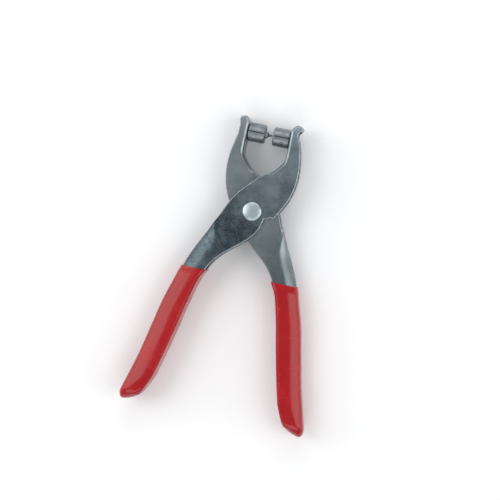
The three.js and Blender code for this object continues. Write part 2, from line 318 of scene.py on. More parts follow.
def outwards_mesh(bm: BMesh, name: str) -> Mesh:
    """Turns the faces of a bmesh outwards and makes a mesh of it.

    Args:
        bm: The bmesh, which is freed.
        name: The mesh's name.

    Returns:
        The mesh.
    """
    bmesh.ops.recalc_face_normals(bm, faces=bm.faces[:])
    mesh = bpy.data.meshes.new(name)
    bm.to_mesh(mesh)
    bm.free()
    return mesh


def only(kind: type, items: list) -> list:
    """Gives the items that are of one kind."""
    return [item for item in items if isinstance(item, kind)]


class Skin:
    """A skin that is extruded from one closed ring of numbered points, in metres."""

    def __init__(self, ring: list[Vector]) -> None:
        """Lays the first ring.

        Args:
            ring: Its points.
        """
        self.bm = bmesh.new()
        self.number = self.bm.verts.layers.int.new("number")
        base = [self.bm.verts.new(point) for point in ring]
        for i, vert in enumerate(base):
            vert[self.number] = i
        self.first = [self.bm.edges.new(pair) for pair in zip(base, base[1:] + base[:1])]

    def grow(self, rings: list[list[Vector]]) -> None:
        """Extrudes the first ring on through others, and closes the last one.

        Args:
            rings: The other rings, each with as many points.
        """
        edges = self.first
        for ring in rings:
            out = bmesh.ops.extrude_edge_only(self.bm, edges=edges)["geom"]
            edges = only(BMEdge, out)
            for vert in only(BMVert, out):
                vert.co = ring[vert[self.number]]
        bmesh.ops.contextual_create(self.bm, geom=edges)

    def open_walls(self, opens: list[bool]) -> None:
        """Takes away the walls under open edges, and welds the points that then lie together.

        Args:
            opens: For each point, whether the edge from it is open.
        """
        gone = []
        for face in self.bm.faces:
            feet = sorted({vert[self.number] for vert in face.verts})
            if len(feet) == 2:
                start = feet[0] if feet[1] == feet[0] + 1 else feet[1]
                if opens[start]:
                    gone.append(face)
        bmesh.ops.delete(self.bm, geom=gone, context="FACES")
        bmesh.ops.remove_doubles(self.bm, verts=self.bm.verts[:], dist=SKIN_WELD * MM)

    def mesh(self) -> Mesh:
        """Marks the cut edges and gives the finished skin."""
        mark_cuts(self.bm)
        return outwards_mesh(self.bm, "skin")


def skin_of(outline: Outline, low: float, high: float, steps: int = 8) -> Mesh:
    """Raises an outline into the outer skin of a folded sheet.

    The outline's ring is extruded up and down, over the bend of each point, and capped.

    Args:
        outline: The outline to raise.
        low: The lower face, in millimetres from the middle plane.
        high: The upper face.
        steps: How many steps a bend takes.

    Returns:
        The skin, without the walls under open edges.
    """
    middle = (low + high) / 2
    skin = Skin([Vector((p.x * MM, p.y * MM, middle * MM)) for p in outline.points])
    spots = list(zip(outline.points, outline.inwards(), outline.bends(), outline.spreads))
    for level, sign in ((high, 1.0), (low, -1.0)):
        rings = []
        for k in range(steps + 1):
            angle = pi / 2 * k / steps
            ring = []
            for point, inwards, fold, spread in spots:
                spot = point + inwards * (fold * spread * (1 - cos(angle)))
                height = level - sign * fold * (1 - sin(angle))
                ring.append(Vector((spot.x * MM, spot.y * MM, height * MM)))
            rings.append(ring)
        skin.grow(rings)
    skin.open_walls(outline.opens)
    return skin.mesh()


def lofted(rings: list[list[Vector]]) -> Mesh:
    """Raises a skin through rings of points, and closes the last one.

    Args:
        rings: The rings, in millimetres, each with as many points.

    Returns:
        The skin, open at its first ring.
    """
    first, *others = [[point * MM for point in ring] for ring in rings]
    skin = Skin(first)
    skin.grow(others)
    return skin.mesh()


def thickened(mesh: Mesh, sheet: float, edge: float) -> Mesh:
    """Gives a skin its thickness, laid inwards, and softens its cut edges.

    Args:
        mesh: The skin, with its cut edges marked.
        sheet: The sheet's thickness.
        edge: The rounding of the cut edges.

    Returns:
        The closed sheet. Its cut edges have material index 1.
    """
    wall = {
        "thickness": sheet * MM,
        "offset": -1.0,
        "use_quality_normals": True,
        "material_offset_rim": 1,
    }
    rounding = {
        "limit_method": "WEIGHT",
        "width": edge * MM,
        "segments": 3,
        "profile": 0.5,
        "use_clamp_overlap": False,
        "material": 1,
    }
    return modify(mesh, ("SOLIDIFY", wall), ("BEVEL", rounding))


def turned_mesh(profile: Profile, steps: int = 64, gap: float = 0.0) -> Mesh:
    """Spins a profile about the vertical axis.

    Args:
        profile: Points of [radius, height] in millimetres. A ring's profile ends where it starts.
        steps: How many steps the spin takes.
        gap: The angle, in radians, that the spin leaves open about the +X side.

    Returns:
        A closed mesh with its faces outwards.
    """
    bm = bmesh.new()
    ring = profile[0] == profile[-1]
    start = Matrix.Rotation(gap / 2, 4, "Z")
    points = profile[:-1] if ring else profile
    verts = [bm.verts.new(start @ Vector((r * MM, 0.0, h * MM))) for r, h in points]
    pairs = list(zip(verts, verts[1:])) + ([(verts[-1], verts[0])] if ring else [])
    edges = [bm.edges.new(pair) for pair in pairs]
    geom: list = [*verts, *edges]
    if gap > 0.0:
        geom += bmesh.ops.contextual_create(bm, geom=edges)["faces"]
    spin = {**UPRIGHT, "angle": 2 * pi - gap, "steps": steps, "use_merge": gap == 0.0}
    bmesh.ops.spin(bm, geom=geom, **spin)
    bmesh.ops.remove_doubles(bm, verts=bm.verts[:], dist=TURNED_WELD * MM)
    return outwards_mesh(bm, "turned")


def rounded(mesh: Mesh, width: float, degrees: float = 40.0) -> Mesh:
    """Rounds the sharp edges of a mesh.

    Args:
        mesh: The mesh.
        width: The rounding, in millimetres.
        degrees: The angle past which an edge is sharp.

    Returns:
        The rounded mesh.
    """
    settings = {
        "limit_method": "ANGLE",
        "angle_limit": radians(degrees),
        "width": width * MM,
        "segments": 3,
        "profile": 0.5,
        "material": -1,
    }
    return modify(mesh, ("BEVEL", settings))


# Shader maths


class Term:
    """A value socket in an expression: its operators add Math nodes."""

    def __init__(self, graph: "Graph", socket: NodeSocket) -> None:
        """Wraps one socket of a graph."""
        self.graph = graph
        self.socket = socket

    def _math(self, operation: str, first: object, second: object) -> "Term":
        """Adds one Math node and gives its result."""
        node = self.graph.node("ShaderNodeMath", {"operation": operation}, {0: first, 1: second})
        return Term(self.graph, node.outputs[0])

    def __add__(self, other: object) -> "Term":
        """Adds."""
        return self._math("ADD", self, other)

    def __sub__(self, other: object) -> "Term":
        """Subtracts."""
        return self._math("SUBTRACT", self, other)

    def __rsub__(self, other: object) -> "Term":
        """Subtracts, from the right."""
        return self._math("SUBTRACT", other, self)

    def __mul__(self, other: object) -> "Term":
        """Multiplies."""
        return self._math("MULTIPLY", self, other)

    __radd__ = __add__
    __rmul__ = __mul__

    def ramp(self, low: float, high: float) -> "Term":
        """Turns the value into a smooth step.

        Args:
            low: Where the step begins. Below, it is 0.
            high: Where it ends. Above, it is 1.

        Returns:
            The step.
        """
        node = self.graph.node(
            "ShaderNodeMapRange",
            {"interpolation_type": "SMOOTHSTEP", "clamp": True},
            {"Value": self, "From Min": low, "From Max": high},
        )
        return Term(self.graph, node.outputs["Result"])


class Graph:
    """The node tree of one material."""

    def __init__(self, name: str) -> None:
        """Makes the material with its Principled shader.

        Args:
            name: The material's name.
        """
        self.material = bpy.data.materials.new(name)
        self.material.use_nodes = True
        self.tree = self.material.node_tree
        self.shader = self.tree.nodes["Principled BSDF"]

    def node(self, kind: str, settings: dict, inputs: dict) -> Node:
        """Adds any node.

        Args:
            kind: The node's type.
            settings: Its settings, which are set first.
            inputs: The values or links of its sockets, by name or number.

        Returns:
            The node.
        """
        made = self.tree.nodes.new(kind)
        for key, value in settings.items():
            setattr(made, key, value)
        for key, value in inputs.items():
            self.feed(made.inputs[key], value)
        return made

    def feed(self, socket: NodeSocket, value: object) -> None:
        """Links a term or socket to a socket, or sets its value.

        Args:
            socket: The socket to feed.
            value: The term, the socket or the plain value.
        """
        if isinstance(value, Term):
            self.tree.links.new(value.socket, socket)
        elif isinstance(value, NodeSocket):
            self.tree.links.new(value, socket)
        else:
            socket.default_value = value

    def place(self, scale: tuple = (1, 1, 1), turn: float = 0, shift: float = 0) -> NodeSocket:
        """Gives the object's own coordinates.

        Args:
            scale: The scale along each axis, after the turn.
            turn: The turn about Z, in radians.
            shift: How far they are shifted along X and Y, after the scale.

        Returns:
            The vector's socket.
        """
        where = self.node("ShaderNodeTexCoord", {}, {}).outputs["Object"]
        turned = {"Vector": where, "Rotation": (0.0, 0.0, turn)}
        where = self.node("ShaderNodeMapping", {}, turned).outputs["Vector"]
        scaled = {"Vector": where, "Scale": scale, "Location": (shift, shift, 0.0)}
        return self.node("ShaderNodeMapping", {}, scaled).outputs["Vector"]

    def noise(
        self, scale: float, detail: float = 2.0, rough: float = 0.5, where: object = None
    ) -> Term:
        """Adds a noise.

        Args:
            scale: How many features it has to a metre.
            detail: How many finer layers it has.
            rough: The strength of the finer layers.
            where: The coordinates, or None for the object's own.

        Returns:
            The noise, from 0 to 1.
        """
        where = self.place() if where is None else where
        inputs = {"Vector": where, "Scale": scale, "Detail": detail, "Roughness": rough}
        return Term(self, self.node("ShaderNodeTexNoise", {}, inputs).outputs["Fac"])

    def split(self, axis: str) -> Term:
        """Gives one of the object's own coordinates."""
        node = self.node("ShaderNodeSeparateXYZ", {}, {"Vector": self.place()})
        return Term(self, node.outputs[axis])

    def mix(self, share: object, first: object, second: object) -> NodeSocket:
        """Mixes two colours.

        Args:
            share: How much of the second there is.
            first: The first colour or its socket.
            second: The second one.

        Returns:
            The mixed colour's socket.
        """
        node = self.node("ShaderNodeMix", {"data_type": "RGBA"}, {"Factor": share})
        colours = [s for s in node.inputs if s.type == "RGBA"]
        self.feed(colours[0], first)
        self.feed(colours[1], second)
        return [s for s in node.outputs if s.type == "RGBA"][0]

    def bump(self, *layers: tuple[Term, float, float]) -> None:
        """Stacks bumps on the shader's normal.

        Args:
            layers: For each, its height, its strength and its depth in millimetres.
        """
        normal = None
        for height, strength, depth in layers:
            inputs = {"Strength": strength, "Distance": depth * MM, "Height": height}
            if normal is not None:
                inputs["Normal"] = normal
            normal = self.node("ShaderNodeBump", {}, inputs).outputs["Normal"]
        self.feed(self.shader.inputs["Normal"], normal)

    def dress(self, **values: object) -> Material:
        """Feeds the shader's sockets.

        Args:
            values: What each one gets, by name with underscores for spaces.

        Returns:
            The material.
        """
        for key, value in values.items():
            self.feed(self.shader.inputs[key.replace("_", " ")], value)
        return self.material


def colour(red: float, green: float, blue: float) -> Colour:
    """Gives a linear colour, with its alpha, for what a display shows from 0 to 255."""
    shown = [value / 255 for value in (red, green, blue)]
    return (*(v / 12.92 if v <= 0.04045 else ((v + 0.055) / 1.055) ** 2.4 for v in shown), 1.0)


# Finishes


@dataclass(frozen=True)
class PlatedSheet:
    """Satin plated sheet: cloudy grey, a faint rolled grain, scuffed spots and fine scratches.

    Its colour holds painted light: it is painted darker low down and lighter high up along Y,
    between two heights, and its jaw tips are painted lighter still as a highlight, all in metres
    of Y.
    """

    name: str
    dark: Colour
    light: Colour
    # Colour of the rubbed spots and scratches, and of the painted highlight on the jaw tips
    rubbed_and_tip_light: Colour
    roughness: float = 0.36
    seed: float = 0.0
    turn: float = 0.35
    # Painted light: the sheet is painted paler from the first of these heights to the second,
    # along Y tilted towards X by the slant
    painted_light_from: float = -0.022
    painted_light_to: float = 0.012
    painted_light_slant: float = 0.0
    # Painted highlight: the jaw tips are painted paler from the first of these heights to the
    # second
    painted_tip_light_from: float = 0.031
    painted_tip_light_to: float = 0.041

    def build(self) -> Material:
        """Builds the material.

        Returns:
            The material.
        """
        g = Graph(self.name)
        shifted = g.place(shift=self.seed)
        clouds = g.noise(58.0, 5.0, 0.62, shifted).ramp(0.36, 0.62)
        blots = g.noise(230.0, 4.0, 0.6, shifted).ramp(0.40, 0.66)
        speckle = g.noise(1500.0, 3.0, 0.6).ramp(0.3, 0.75)
        grain = g.noise(1.0, 4.0, 0.7, g.place((2600.0, 140.0, 900.0), self.turn))
        crossed = g.noise(1.0, 2.0, 0.5, g.place((160.0, 5200.0, 160.0), self.turn + 0.9))
        scratch = crossed.ramp(0.70, 0.78)
        rubs = g.noise(42.0, 3.0, 0.55, shifted).ramp(0.58, 0.72)
        height = g.split("Y")
        # Painted highlight: the jaw tips are painted paler, blotched a little
        painted_tip_light = height.ramp(self.painted_tip_light_from, self.painted_tip_light_to) * (0.7 + blots * 0.3)
        # Painted light and shade: darker low on the handle and paler up the jaw, slanted towards
        # +X
        slanted = height + self.painted_light_slant * g.split("X")
        painted_light = slanted.ramp(self.painted_light_from, self.painted_light_to)
        shade = g.mix(clouds * 0.24 + blots * 0.15 + painted_light * 0.61, self.dark, self.light)
        shade = g.mix(speckle * 0.22, shade, self.rubbed_and_tip_light)
        # Rubbed spots and scratches, and the painted highlight on the jaw tips
        shade = g.mix(rubs * 0.35 + scratch * 0.25 + painted_tip_light, shade, self.rubbed_and_tip_light)
        g.bump(
            (g.noise(38.0, 2.0, 0.5, shifted), 0.30, 0.35),
            (grain, 0.12, 0.02),
            (speckle, 0.22, 0.015),
            (1.0 - scratch, 0.25, 0.012),
        )
        rough = self.roughness + (clouds - 0.5) * 0.10 + (grain - 0.5) * 0.12 - rubs * 0.06
        return g.dress(Base_Color=shade, Metallic=0.92, Roughness=rough)


@dataclass(frozen=True)
class CutEdge:
    """The sheared edge: bare steel, brighter also as a painted highlight, with lines across it."""

    name: str
    dark: Colour
    light: Colour

    def build(self) -> Material:
        """Builds the material.

        Returns:
            The material.
        """
        g = Graph(self.name)
        lines = g.noise(1.0, 3.0, 0.6, g.place((1400.0, 1400.0, 260.0)))
        blotch = g.noise(240.0, 3.0, 0.6)
        # Partly painted highlight: the edge's pale colour stands in for the light it catches
        shade = g.mix(lines.ramp(0.35, 0.7) * 0.6 + blotch * 0.3, self.dark, self.light)
        g.bump((lines, 0.25, 0.02), (blotch, 0.2, 0.03))
        return g.dress(Base_Color=shade, Metallic=0.6, Roughness=0.42 + (lines - 0.5) * 0.2)


@dataclass(frozen=True)
class TurnedSteel:
    """Bright turned steel: fine tool rings about its axis, specks and a little tarnish."""

    name: str
    dark: Colour
    light: Colour
    roughness: float = 0.26
    rings: tuple[float, float, float] = (9000.0, 60.0, 60.0)

    def build(self) -> Material:
        """Builds the material.

        Returns:
            The material.
        """
        g = Graph(self.name)
        rings = g.noise(1.0, 3.0, 0.6, g.place(self.rings))
        tarnish = g.noise(330.0, 4.0, 0.6).ramp(0.35, 0.75)
        specks = g.noise(2600.0, 2.0, 0.5).ramp(0.62, 0.74)
        shade = g.mix(tarnish * 0.6 + (rings - 0.5) * 0.5, self.light, self.dark)
        shade = g.mix(specks * 0.3, shade, self.dark)
        g.bump((rings, 0.10, 0.01), (tarnish, 0.10, 0.02), (1.0 - specks, 0.15, 0.01))
        rough = self.roughness + tarnish * 0.08 + (rings - 0.5) * 0.10
        return g.dress(Base_Color=shade, Metallic=0.96, Roughness=rough)


@dataclass(frozen=True)
class Vinyl:
    """Glossy soft vinyl: deep red, a slow ripple, faint flow lines and small dull spots."""

    name: str
    deep: Colour
    bright: Colour
    turn: float = 0.25

    def build(self) -> Material:
        """Builds the material.

        Returns:
            The material.
        """
        g = Graph(self.name)
        flow = g.noise(1.0, 3.0, 0.5, g.place((330.0, 36.0, 330.0), self.turn))
        peel = g.noise(1100.0, 2.0, 0.5)
        smear = g.noise(95.0, 4.0, 0.6).ramp(0.42, 0.72)
        specks = g.noise(1900.0, 2.0, 0.5).ramp(0.70, 0.80)
        shade = g.mix(flow * 0.6 + smear * 0.3, self.deep, self.bright)
        g.bump((flow, 0.22, 0.30), (g.noise(60.0, 2.0), 0.2, 0.4), (peel, 0.10, 0.02))
        rough = 0.2 + smear * 0.13 + specks * 0.2
        g.dress(IOR=1.43, Coat_Weight=0.05, Coat_Roughness=0.08)
        return g.dress(Base_Color=shade, Roughness=rough, Metallic=0.0)


@dataclass(frozen=True)
class Paper:
    """The pale floor, with a very faint tooth."""

    name: str
    tone: Colour = (0.95, 0.95, 0.95, 1.0)
    shaded: Colour = (0.62, 0.62, 0.62, 1.0)

    def build(self) -> Material:
        """Builds the material.

        Returns:
            The material.
        """
        g = Graph(self.name)
        tooth = g.noise(900.0, 3.0, 0.6)
        shade = g.mix(tooth * 0.06, self.tone, self.shaded)
        g.bump((tooth, 0.05, 0.05))
        return g.dress(Base_Color=shade, Roughness=0.7)


FRONT_SHEET = PlatedSheet(
    "dark_plated_steel",
    colour(26, 43, 53),
    colour(124, 137, 144),
    # Colour of the rubbed spots, and of the painted highlight on the jaw tips
    colour(163, 175, 182),
    # Painted light: paler up the jaw and towards +X
    painted_light_from=-0.021,
    painted_light_to=0.019,
    painted_light_slant=0.6,
)
REAR_SHEET = PlatedSheet(
    "pale_plated_steel",
    colour(86, 96, 99),
    colour(138, 148, 151),
    # Colour of the rubbed spots, and of the painted highlight on the jaw tips
    colour(156, 165, 170),
    roughness=0.34,
    seed=0.37,
    turn=-0.35,
    # Painted light: paler up along Y
    painted_light_from=-0.042,
    painted_light_to=-0.006,
)
# The cut edge is bare steel, and its pale colour is partly a painted highlight
CUT_EDGE = CutEdge("cut_edge", colour(118, 127, 133), colour(200, 206, 210))
RIVET_STEEL = TurnedSteel(
    "bright_steel", colour(147, 163, 167), colour(190, 204, 207), 0.38, (500.0, 500.0, 500.0)
)
DIE_STEEL = TurnedSteel("die_steel", colour(88, 96, 100), colour(147, 154, 158), 0.42)
WIRE = TurnedSteel("spring_wire", colour(120, 124, 128), colour(176, 180, 184), 0.3)
RED_VINYL = Vinyl("red_sleeve", colour(150, 12, 18), colour(182, 22, 28))


# Pieces


@dataclass
class Lever:
    """One pressed lever, drawn as the front one: right jaw, left handle.

    The tables give X as a share of the reach and Y as a share of the length, for the jaw and for
    the handle. Each row of the handle is its way down, its outer edge and its inner edge. hook
    and neck are the outer edge at the jaw's tip and just below. A fold's run is the way it
    takes to reach its full radius.
    """

    side: Side
    finish: PlatedSheet
    reach_extra: float = 0.5
    hook: float = 0.825
    neck: float = 0.775
    jaw_fold: float = 1.4
    jaw_run: float = 5.0
    fold_spread: float = 1.5
    tip_run: float = 4.5
    handle_fold: float = 5.5
    fold_run: float = 7.0
    low: float = -4.8
    high: float = 6.6
    sheet: float = 1.5
    cut_edge: float = 0.4
    walled_from: float = 0.08
    jaw_reach: float = 17.0
    jaw_length: float = 43.0
    handle_reach: float = 44.0
    handle_length: float = 98.0
    jaw_inner: tuple = (
        (-0.018, 0.377), (0.176, 0.419), (0.329, 0.465), (0.524, 0.558), (0.585, 0.612),
        (0.594, 0.698), (0.588, 0.884), (0.594, 0.944),
    )
    jaw_tip: tuple = ((0.706, 0.998), (0.859, 0.984))
    hook_height: float = 0.944
    neck_height: float = 0.893
    jaw_outer: tuple = (
        (0.871, 0.791), (0.935, 0.674), (0.988, 0.547), (0.994, 0.419), (0.953, 0.291),
        (0.859, 0.17), (0.741, 0.074), (0.6, -0.033),
    )
    notch: tuple = ((0.512, -0.028), (0.412, -0.058), (0.353, -0.053))
    shoulder: tuple = (
        (-0.818, -0.07), (-0.747, 0.0), (-0.624, 0.093), (-0.465, 0.186), (-0.247, 0.279),
        (-0.018, 0.377),
    )
    handle: tuple = (
        (0.071, -0.357, 0.114), (0.122, -0.418, 0.039), (0.173, -0.48, -0.084),
        (0.224, -0.536, -0.218), (0.276, -0.586, -0.316), (0.316, -0.616, -0.364),
        (0.367, -0.643, -0.43), (0.49, -0.725, -0.502), (0.612, -0.784, -0.559),
        (0.776, -0.864, -0.643), (0.918, -0.952, -0.727),
    )

    def rows(self, steps: int = 44) -> list[Vector]:
        """Gives the handle's rows, from the rivet down.

        Args:
            steps: How many steps there are between the first and the last.

        Returns:
            For each row, its outer edge, its height and its inner edge.
        """
        knots = [
            (outer * self.handle_reach, -down * self.handle_length, inner * self.handle_reach)
            for down, outer, inner in self.handle
        ]
        return spline(knots, steps)

    def outline(self) -> Outline:
        """Gives the lever's whole outline, from the crotch up the jaw and round.

        Returns:
            The outline. The jaw's inner edge and the handle's outer edge are walled.
        """
        reach = self.jaw_reach + self.reach_extra

        def scaled(shares: tuple, width: float) -> Profile:
            """Turns a table of shares into millimetres."""
            return [(x * width, y * self.jaw_length) for x, y in shares]

        hook, neck = (self.hook, self.hook_height), (self.neck, self.neck_height)
        knots = scaled(self.jaw_inner, self.jaw_reach) + scaled((*self.jaw_tip, hook), reach)
        inner = spline(knots, steps=80)
        start = round(self.walled_from * len(inner))
        rows = self.rows()
        back = [(row[0], row[1]) for row in reversed(rows)]
        line = Outline(square_at=rows[-1][1])
        line.run(inner[1:start])
        line.run(inner[start:-1], self.jaw_fold, False, (self.jaw_run, self.tip_run))
        line.run(spline(scaled((hook, neck, *self.jaw_outer), reach), steps=54))
        line.run(scaled(self.notch, self.jaw_reach))
        line.run([(row[2], row[1]) for row in rows])
        line.run(back[:-1], self.handle_fold, False, (0.0, self.fold_run), self.fold_spread)
        line.run(back[-1:])
        line.run(spline(scaled(self.shoulder, self.jaw_reach), steps=30))
        return line

    def build(self) -> Object:
        """Builds and dresses the lever.

        Returns:
            The lever.
        """
        skin = skin_of(self.outline(), self.low, self.high)
        mesh = smooth_shaded(thickened(skin, self.sheet, self.cut_edge))
        mesh.transform(self.side.place())
        name = f"{self.side.value}_lever_sheet"
        obj = finish_object(name, mesh, self.finish.build(), CUT_EDGE.build())
        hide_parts(f"{self.side.value}_lever")
        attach(obj, self.side.value)
        return obj


@dataclass
class Grip:
    """One vinyl sleeve: thin at its mouth, closed and rounded at its end.

    Each late value is where a change begins and how far it takes, in shares of the handle's
    length. Corners take at most corner_share of a side. The slant of a side is measured over
    window rows each way. The rows of the end stand for the last replaced ones.
    """

    lever: Lever
    start: float = 30.0
    lip: float = 4.0
    lip_side: float = 0.6
    side_offset: float = 0.9
    half_height: float = 7.1
    lip_height: float = 6.4
    wall: float = 0.5
    outer_fold: float = 4.9
    outer_spread: float = 1.4
    outer_late: tuple = (0.86, 0.1)
    inner_fold: float = 1.8
    inner_late: tuple = (0.918, 0.07)
    end_fold: float = 3.6
    droop_late: tuple = (0.93, 0.07)
    end_droop: float = 0.96
    corner_share: float = 0.96
    corner_steps: int = 8
    mouth_edge: float = 0.16
    window: int = 5
    replaced: int = 5
    end: tuple = (
        (0.952, -0.991, -0.762), (0.975, -0.998, -0.815), (0.992, -0.989, -0.882),
        (1.0, -0.968, -0.94),
    )

    def rows(self) -> list[Vector]:
        """Gives the sleeve's rows, from the mouth down to the point of its end.

        Returns:
            For each row, its outer side, its height and its inner side.
        """
        found = []
        for x0, y, x1 in self.lever.rows(steps=88):
            if y < -self.start:
                share = eased((-self.start - y) / self.lip)
                side = self.lip_side + share * (self.side_offset - self.lip_side)
                found.append(Vector((x0 - side, y, x1 + side)))
        length, reach = self.lever.handle_length, self.lever.handle_reach
        ends = [(x0 * reach, -down * length, x1 * reach) for down, x0, x1 in self.end]
        kept = found[: -self.replaced]
        knots = [kept[-1], found[-self.replaced], *ends]
        between = 10
        return kept + spline(knots, between * (len(knots) - 1))[between:]

    def late(self, row: Vector, change: tuple[float, float]) -> float:
        """Gives how far a change has come at a row: 0 before it begins and 1 at its end."""
        return (-row.y / self.lever.handle_length - change[0]) / change[1]

    def ring(self, row: Vector, stretch: tuple[float, float]) -> list[Vector]:
        """Gives the points of one section across the sleeve: a box with rounded corners.

        Args:
            row: The section's outer side, height and inner side.
            stretch: How much wider the slant of each side makes its corners.

        Returns:
            The ring's points about the middle plane.
        """
        x0, y, x1 = row
        share = eased((-self.start - y) / self.lip)
        half = self.lip_height + share * (self.half_height - self.lip_height)
        half *= sqrt(1.0 - self.end_droop * max(self.late(row, self.droop_late), 0.0) ** 2)
        outer = eased(self.late(row, self.outer_late))
        inner = eased(self.late(row, self.inner_late))
        folds = [
            self.outer_fold + outer * (self.end_fold - self.outer_fold),
            self.inner_fold + inner * (self.end_fold - self.inner_fold),
        ]
        spread = self.outer_spread + outer * (1.0 - self.outer_spread)
        wides = [folds[0] * stretch[0] * spread, folds[1] * stretch[1]]
        fits = min(self.corner_share * (x1 - x0) / sum(wides), 1.0)
        corners = ((x0, 1.0, 0, 1.0), (x1, -1.0, 1, 1.0), (x1, -1.0, 1, -1.0), (x0, 1.0, 0, -1.0))
        last = self.corner_steps
        points = []
        for turn, (side, inwards, which, up) in enumerate(corners):
            tall = min(folds[which], self.corner_share * half)
            for k in range(last + 1):
                angle = pi / 2 / last * (last - k if turn % 2 else k)
                x = side + inwards * wides[which] * fits * (1 - cos(angle))
                points.append(Vector((x, y, up * (half - tall * (1 - sin(angle))))))
        return points

    def build(self) -> Object:
        """Builds and dresses the sleeve.

        Returns:
            The sleeve.
        """
        rows = self.rows()
        rings = []
        for i, row in enumerate(rows):
            along = rows[min(i + self.window, len(rows) - 1)] - rows[max(i - self.window, 0)]
            outer, inner = (hypot(along[k], along.y) / abs(along.y) for k in (0, 2))
            rings.append(self.ring(row, (outer, inner)))
        mesh = thickened(lofted(rings), self.wall, self.mouth_edge)
        mesh.transform(Matrix.Translation((0.0, 0.0, (self.lever.high + self.lever.low) / 2 * MM)))
        mesh = smooth_shaded(mesh, degrees=60.0)
        mesh.transform(self.lever.side.place())
        name = self.lever.side.value
        vinyl = RED_VINYL.build()
        obj = finish_object(f"{name}_sleeve", mesh, vinyl, vinyl)
        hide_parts(f"{name}_grip")
        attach(obj, name)
        return obj


@dataclass
class Pivot:
    """The rivet through both levers, the sleeve that spaces the walls, and the return spring."""

    head_radius: float = 4.4
    head_height: float = 1.4
    head_rim: float = 0.28
    head_inset: float = 0.12
    tail_chamfer: tuple = (0.3, 0.35)
    shank: float = 3.0
    seat: float = 6.7
    sleeve_radius: float = 4.2
    sleeve_half: float = 3.1
    clearance: float = 0.2
    wire: float = 0.6
    coil_radius: float = 5.1
    pitch: float = 2.0
    turns: int = 2
    leg: tuple = (-18.1, -16.95)
    blend_reach: float = 6.0

    def rivet(self) -> Object:
        """Builds the rivet: a low dome over a short rim, and a flat tail.

        Returns:
            The rivet.
        """
        head, seat = self.head_radius, self.seat
        rim = seat + self.head_height * self.head_rim
        top = seat + self.head_height
        steps = 12
        angles = [pi / 2 * k / steps for k in range(steps)]
        profile = [
            (0.0, -MID_HEIGHT),
            (head - self.tail_chamfer[0], -MID_HEIGHT),
            (head, -MID_HEIGHT + self.tail_chamfer[1]),
            (head, -seat),
            (self.shank, -seat),
            (self.shank, seat),
            (head - self.head_inset, seat),
            *((head * cos(a), rim + (top - rim) * sin(a)) for a in angles),
            (0.0, top),
        ]
        mesh = smooth_shaded(turned_mesh(profile, steps=96), degrees=40.0)
        mesh.transform(Side.FRONT.place())
        obj = finish_object("rivet", mesh, RIVET_STEEL.build())
        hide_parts("pivot_rivet")
        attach(obj, "rear")
        return obj

    def sleeve(self) -> Object:
        """Builds the short tube between the inner walls.

        Returns:
            The tube.
        """
        inner, outer, half = self.shank + self.clearance, self.sleeve_radius, self.sleeve_half
        profile = [(inner, -half), (outer, -half), (outer, half), (inner, half), (inner, -half)]
        mesh = smooth_shaded(rounded(turned_mesh(profile), width=0.15))
        mesh.transform(Side.FRONT.place())
        obj = finish_object("spacer_tube", mesh, WIRE.build())
        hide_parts("spacer_sleeve")
        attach(obj, "rear")
        return obj

    def spring(self) -> Object:
        """Builds the torsion spring: a round wire led in straight, coiled, and led out.

        Returns:
            The spring.
        """
        far = Vector(self.leg)
        tangent = acos(self.coil_radius / far.length)
        end = atan2(far.y, far.x) - tangent + 2 * pi
        start = pi - end
        sweep = end - start + 2 * pi * self.turns
        rise = self.pitch * sweep / (2 * pi)
        bm = bmesh.new()
        bmesh.ops.create_circle(bm, cap_ends=False, segments=14, radius=self.wire * MM)
        upright = Matrix.Rotation(pi / 2, 4, "X")
        aside = Matrix.Translation((self.coil_radius * MM, 0.0, -rise / 2 * MM))
        stand = Matrix.Rotation(start, 4, "Z") @ aside @ upright
        bmesh.ops.transform(bm, matrix=stand, verts=bm.verts[:])
        first = bm.edges[:]
        lead = Vector((sin(start), -cos(start), 0.0))
        reach = sqrt(far.length_squared - self.coil_radius**2)
        steps = 90
        climb = (0.0, 0.0, rise / steps * MM)
        spin = {**UPRIGHT, "angle": sweep, "steps": steps, "use_merge": False, "dvec": climb}
        coil = bmesh.ops.spin(bm, geom=[*bm.verts, *bm.edges], **spin)
        last = only(BMEdge, coil["geom_last"])
        away = Vector((-sin(end), cos(end), 0.0))
        for edges, direction in ((first, lead), (last, away)):
            for length in (2 * self.wire, reach - 2 * self.wire):
                out = bmesh.ops.extrude_edge_only(bm, edges=edges)["geom"]
                edges = only(BMEdge, out)
                shift = direction * length * MM
                bmesh.ops.translate(bm, vec=shift, verts=only(BMVert, out))
            bmesh.ops.contextual_create(bm, geom=edges)
        mesh = outwards_mesh(bm, "wire")
        mesh.transform(Side.FRONT.place())
        for polygon in mesh.polygons:
            polygon.use_smooth = True
        mesh.set_sharp_from_angle(angle=radians(60.0))
        obj = finish_object("torsion_spring", mesh, WIRE.build())
        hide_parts("return_spring")
        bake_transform(obj)
        return obj


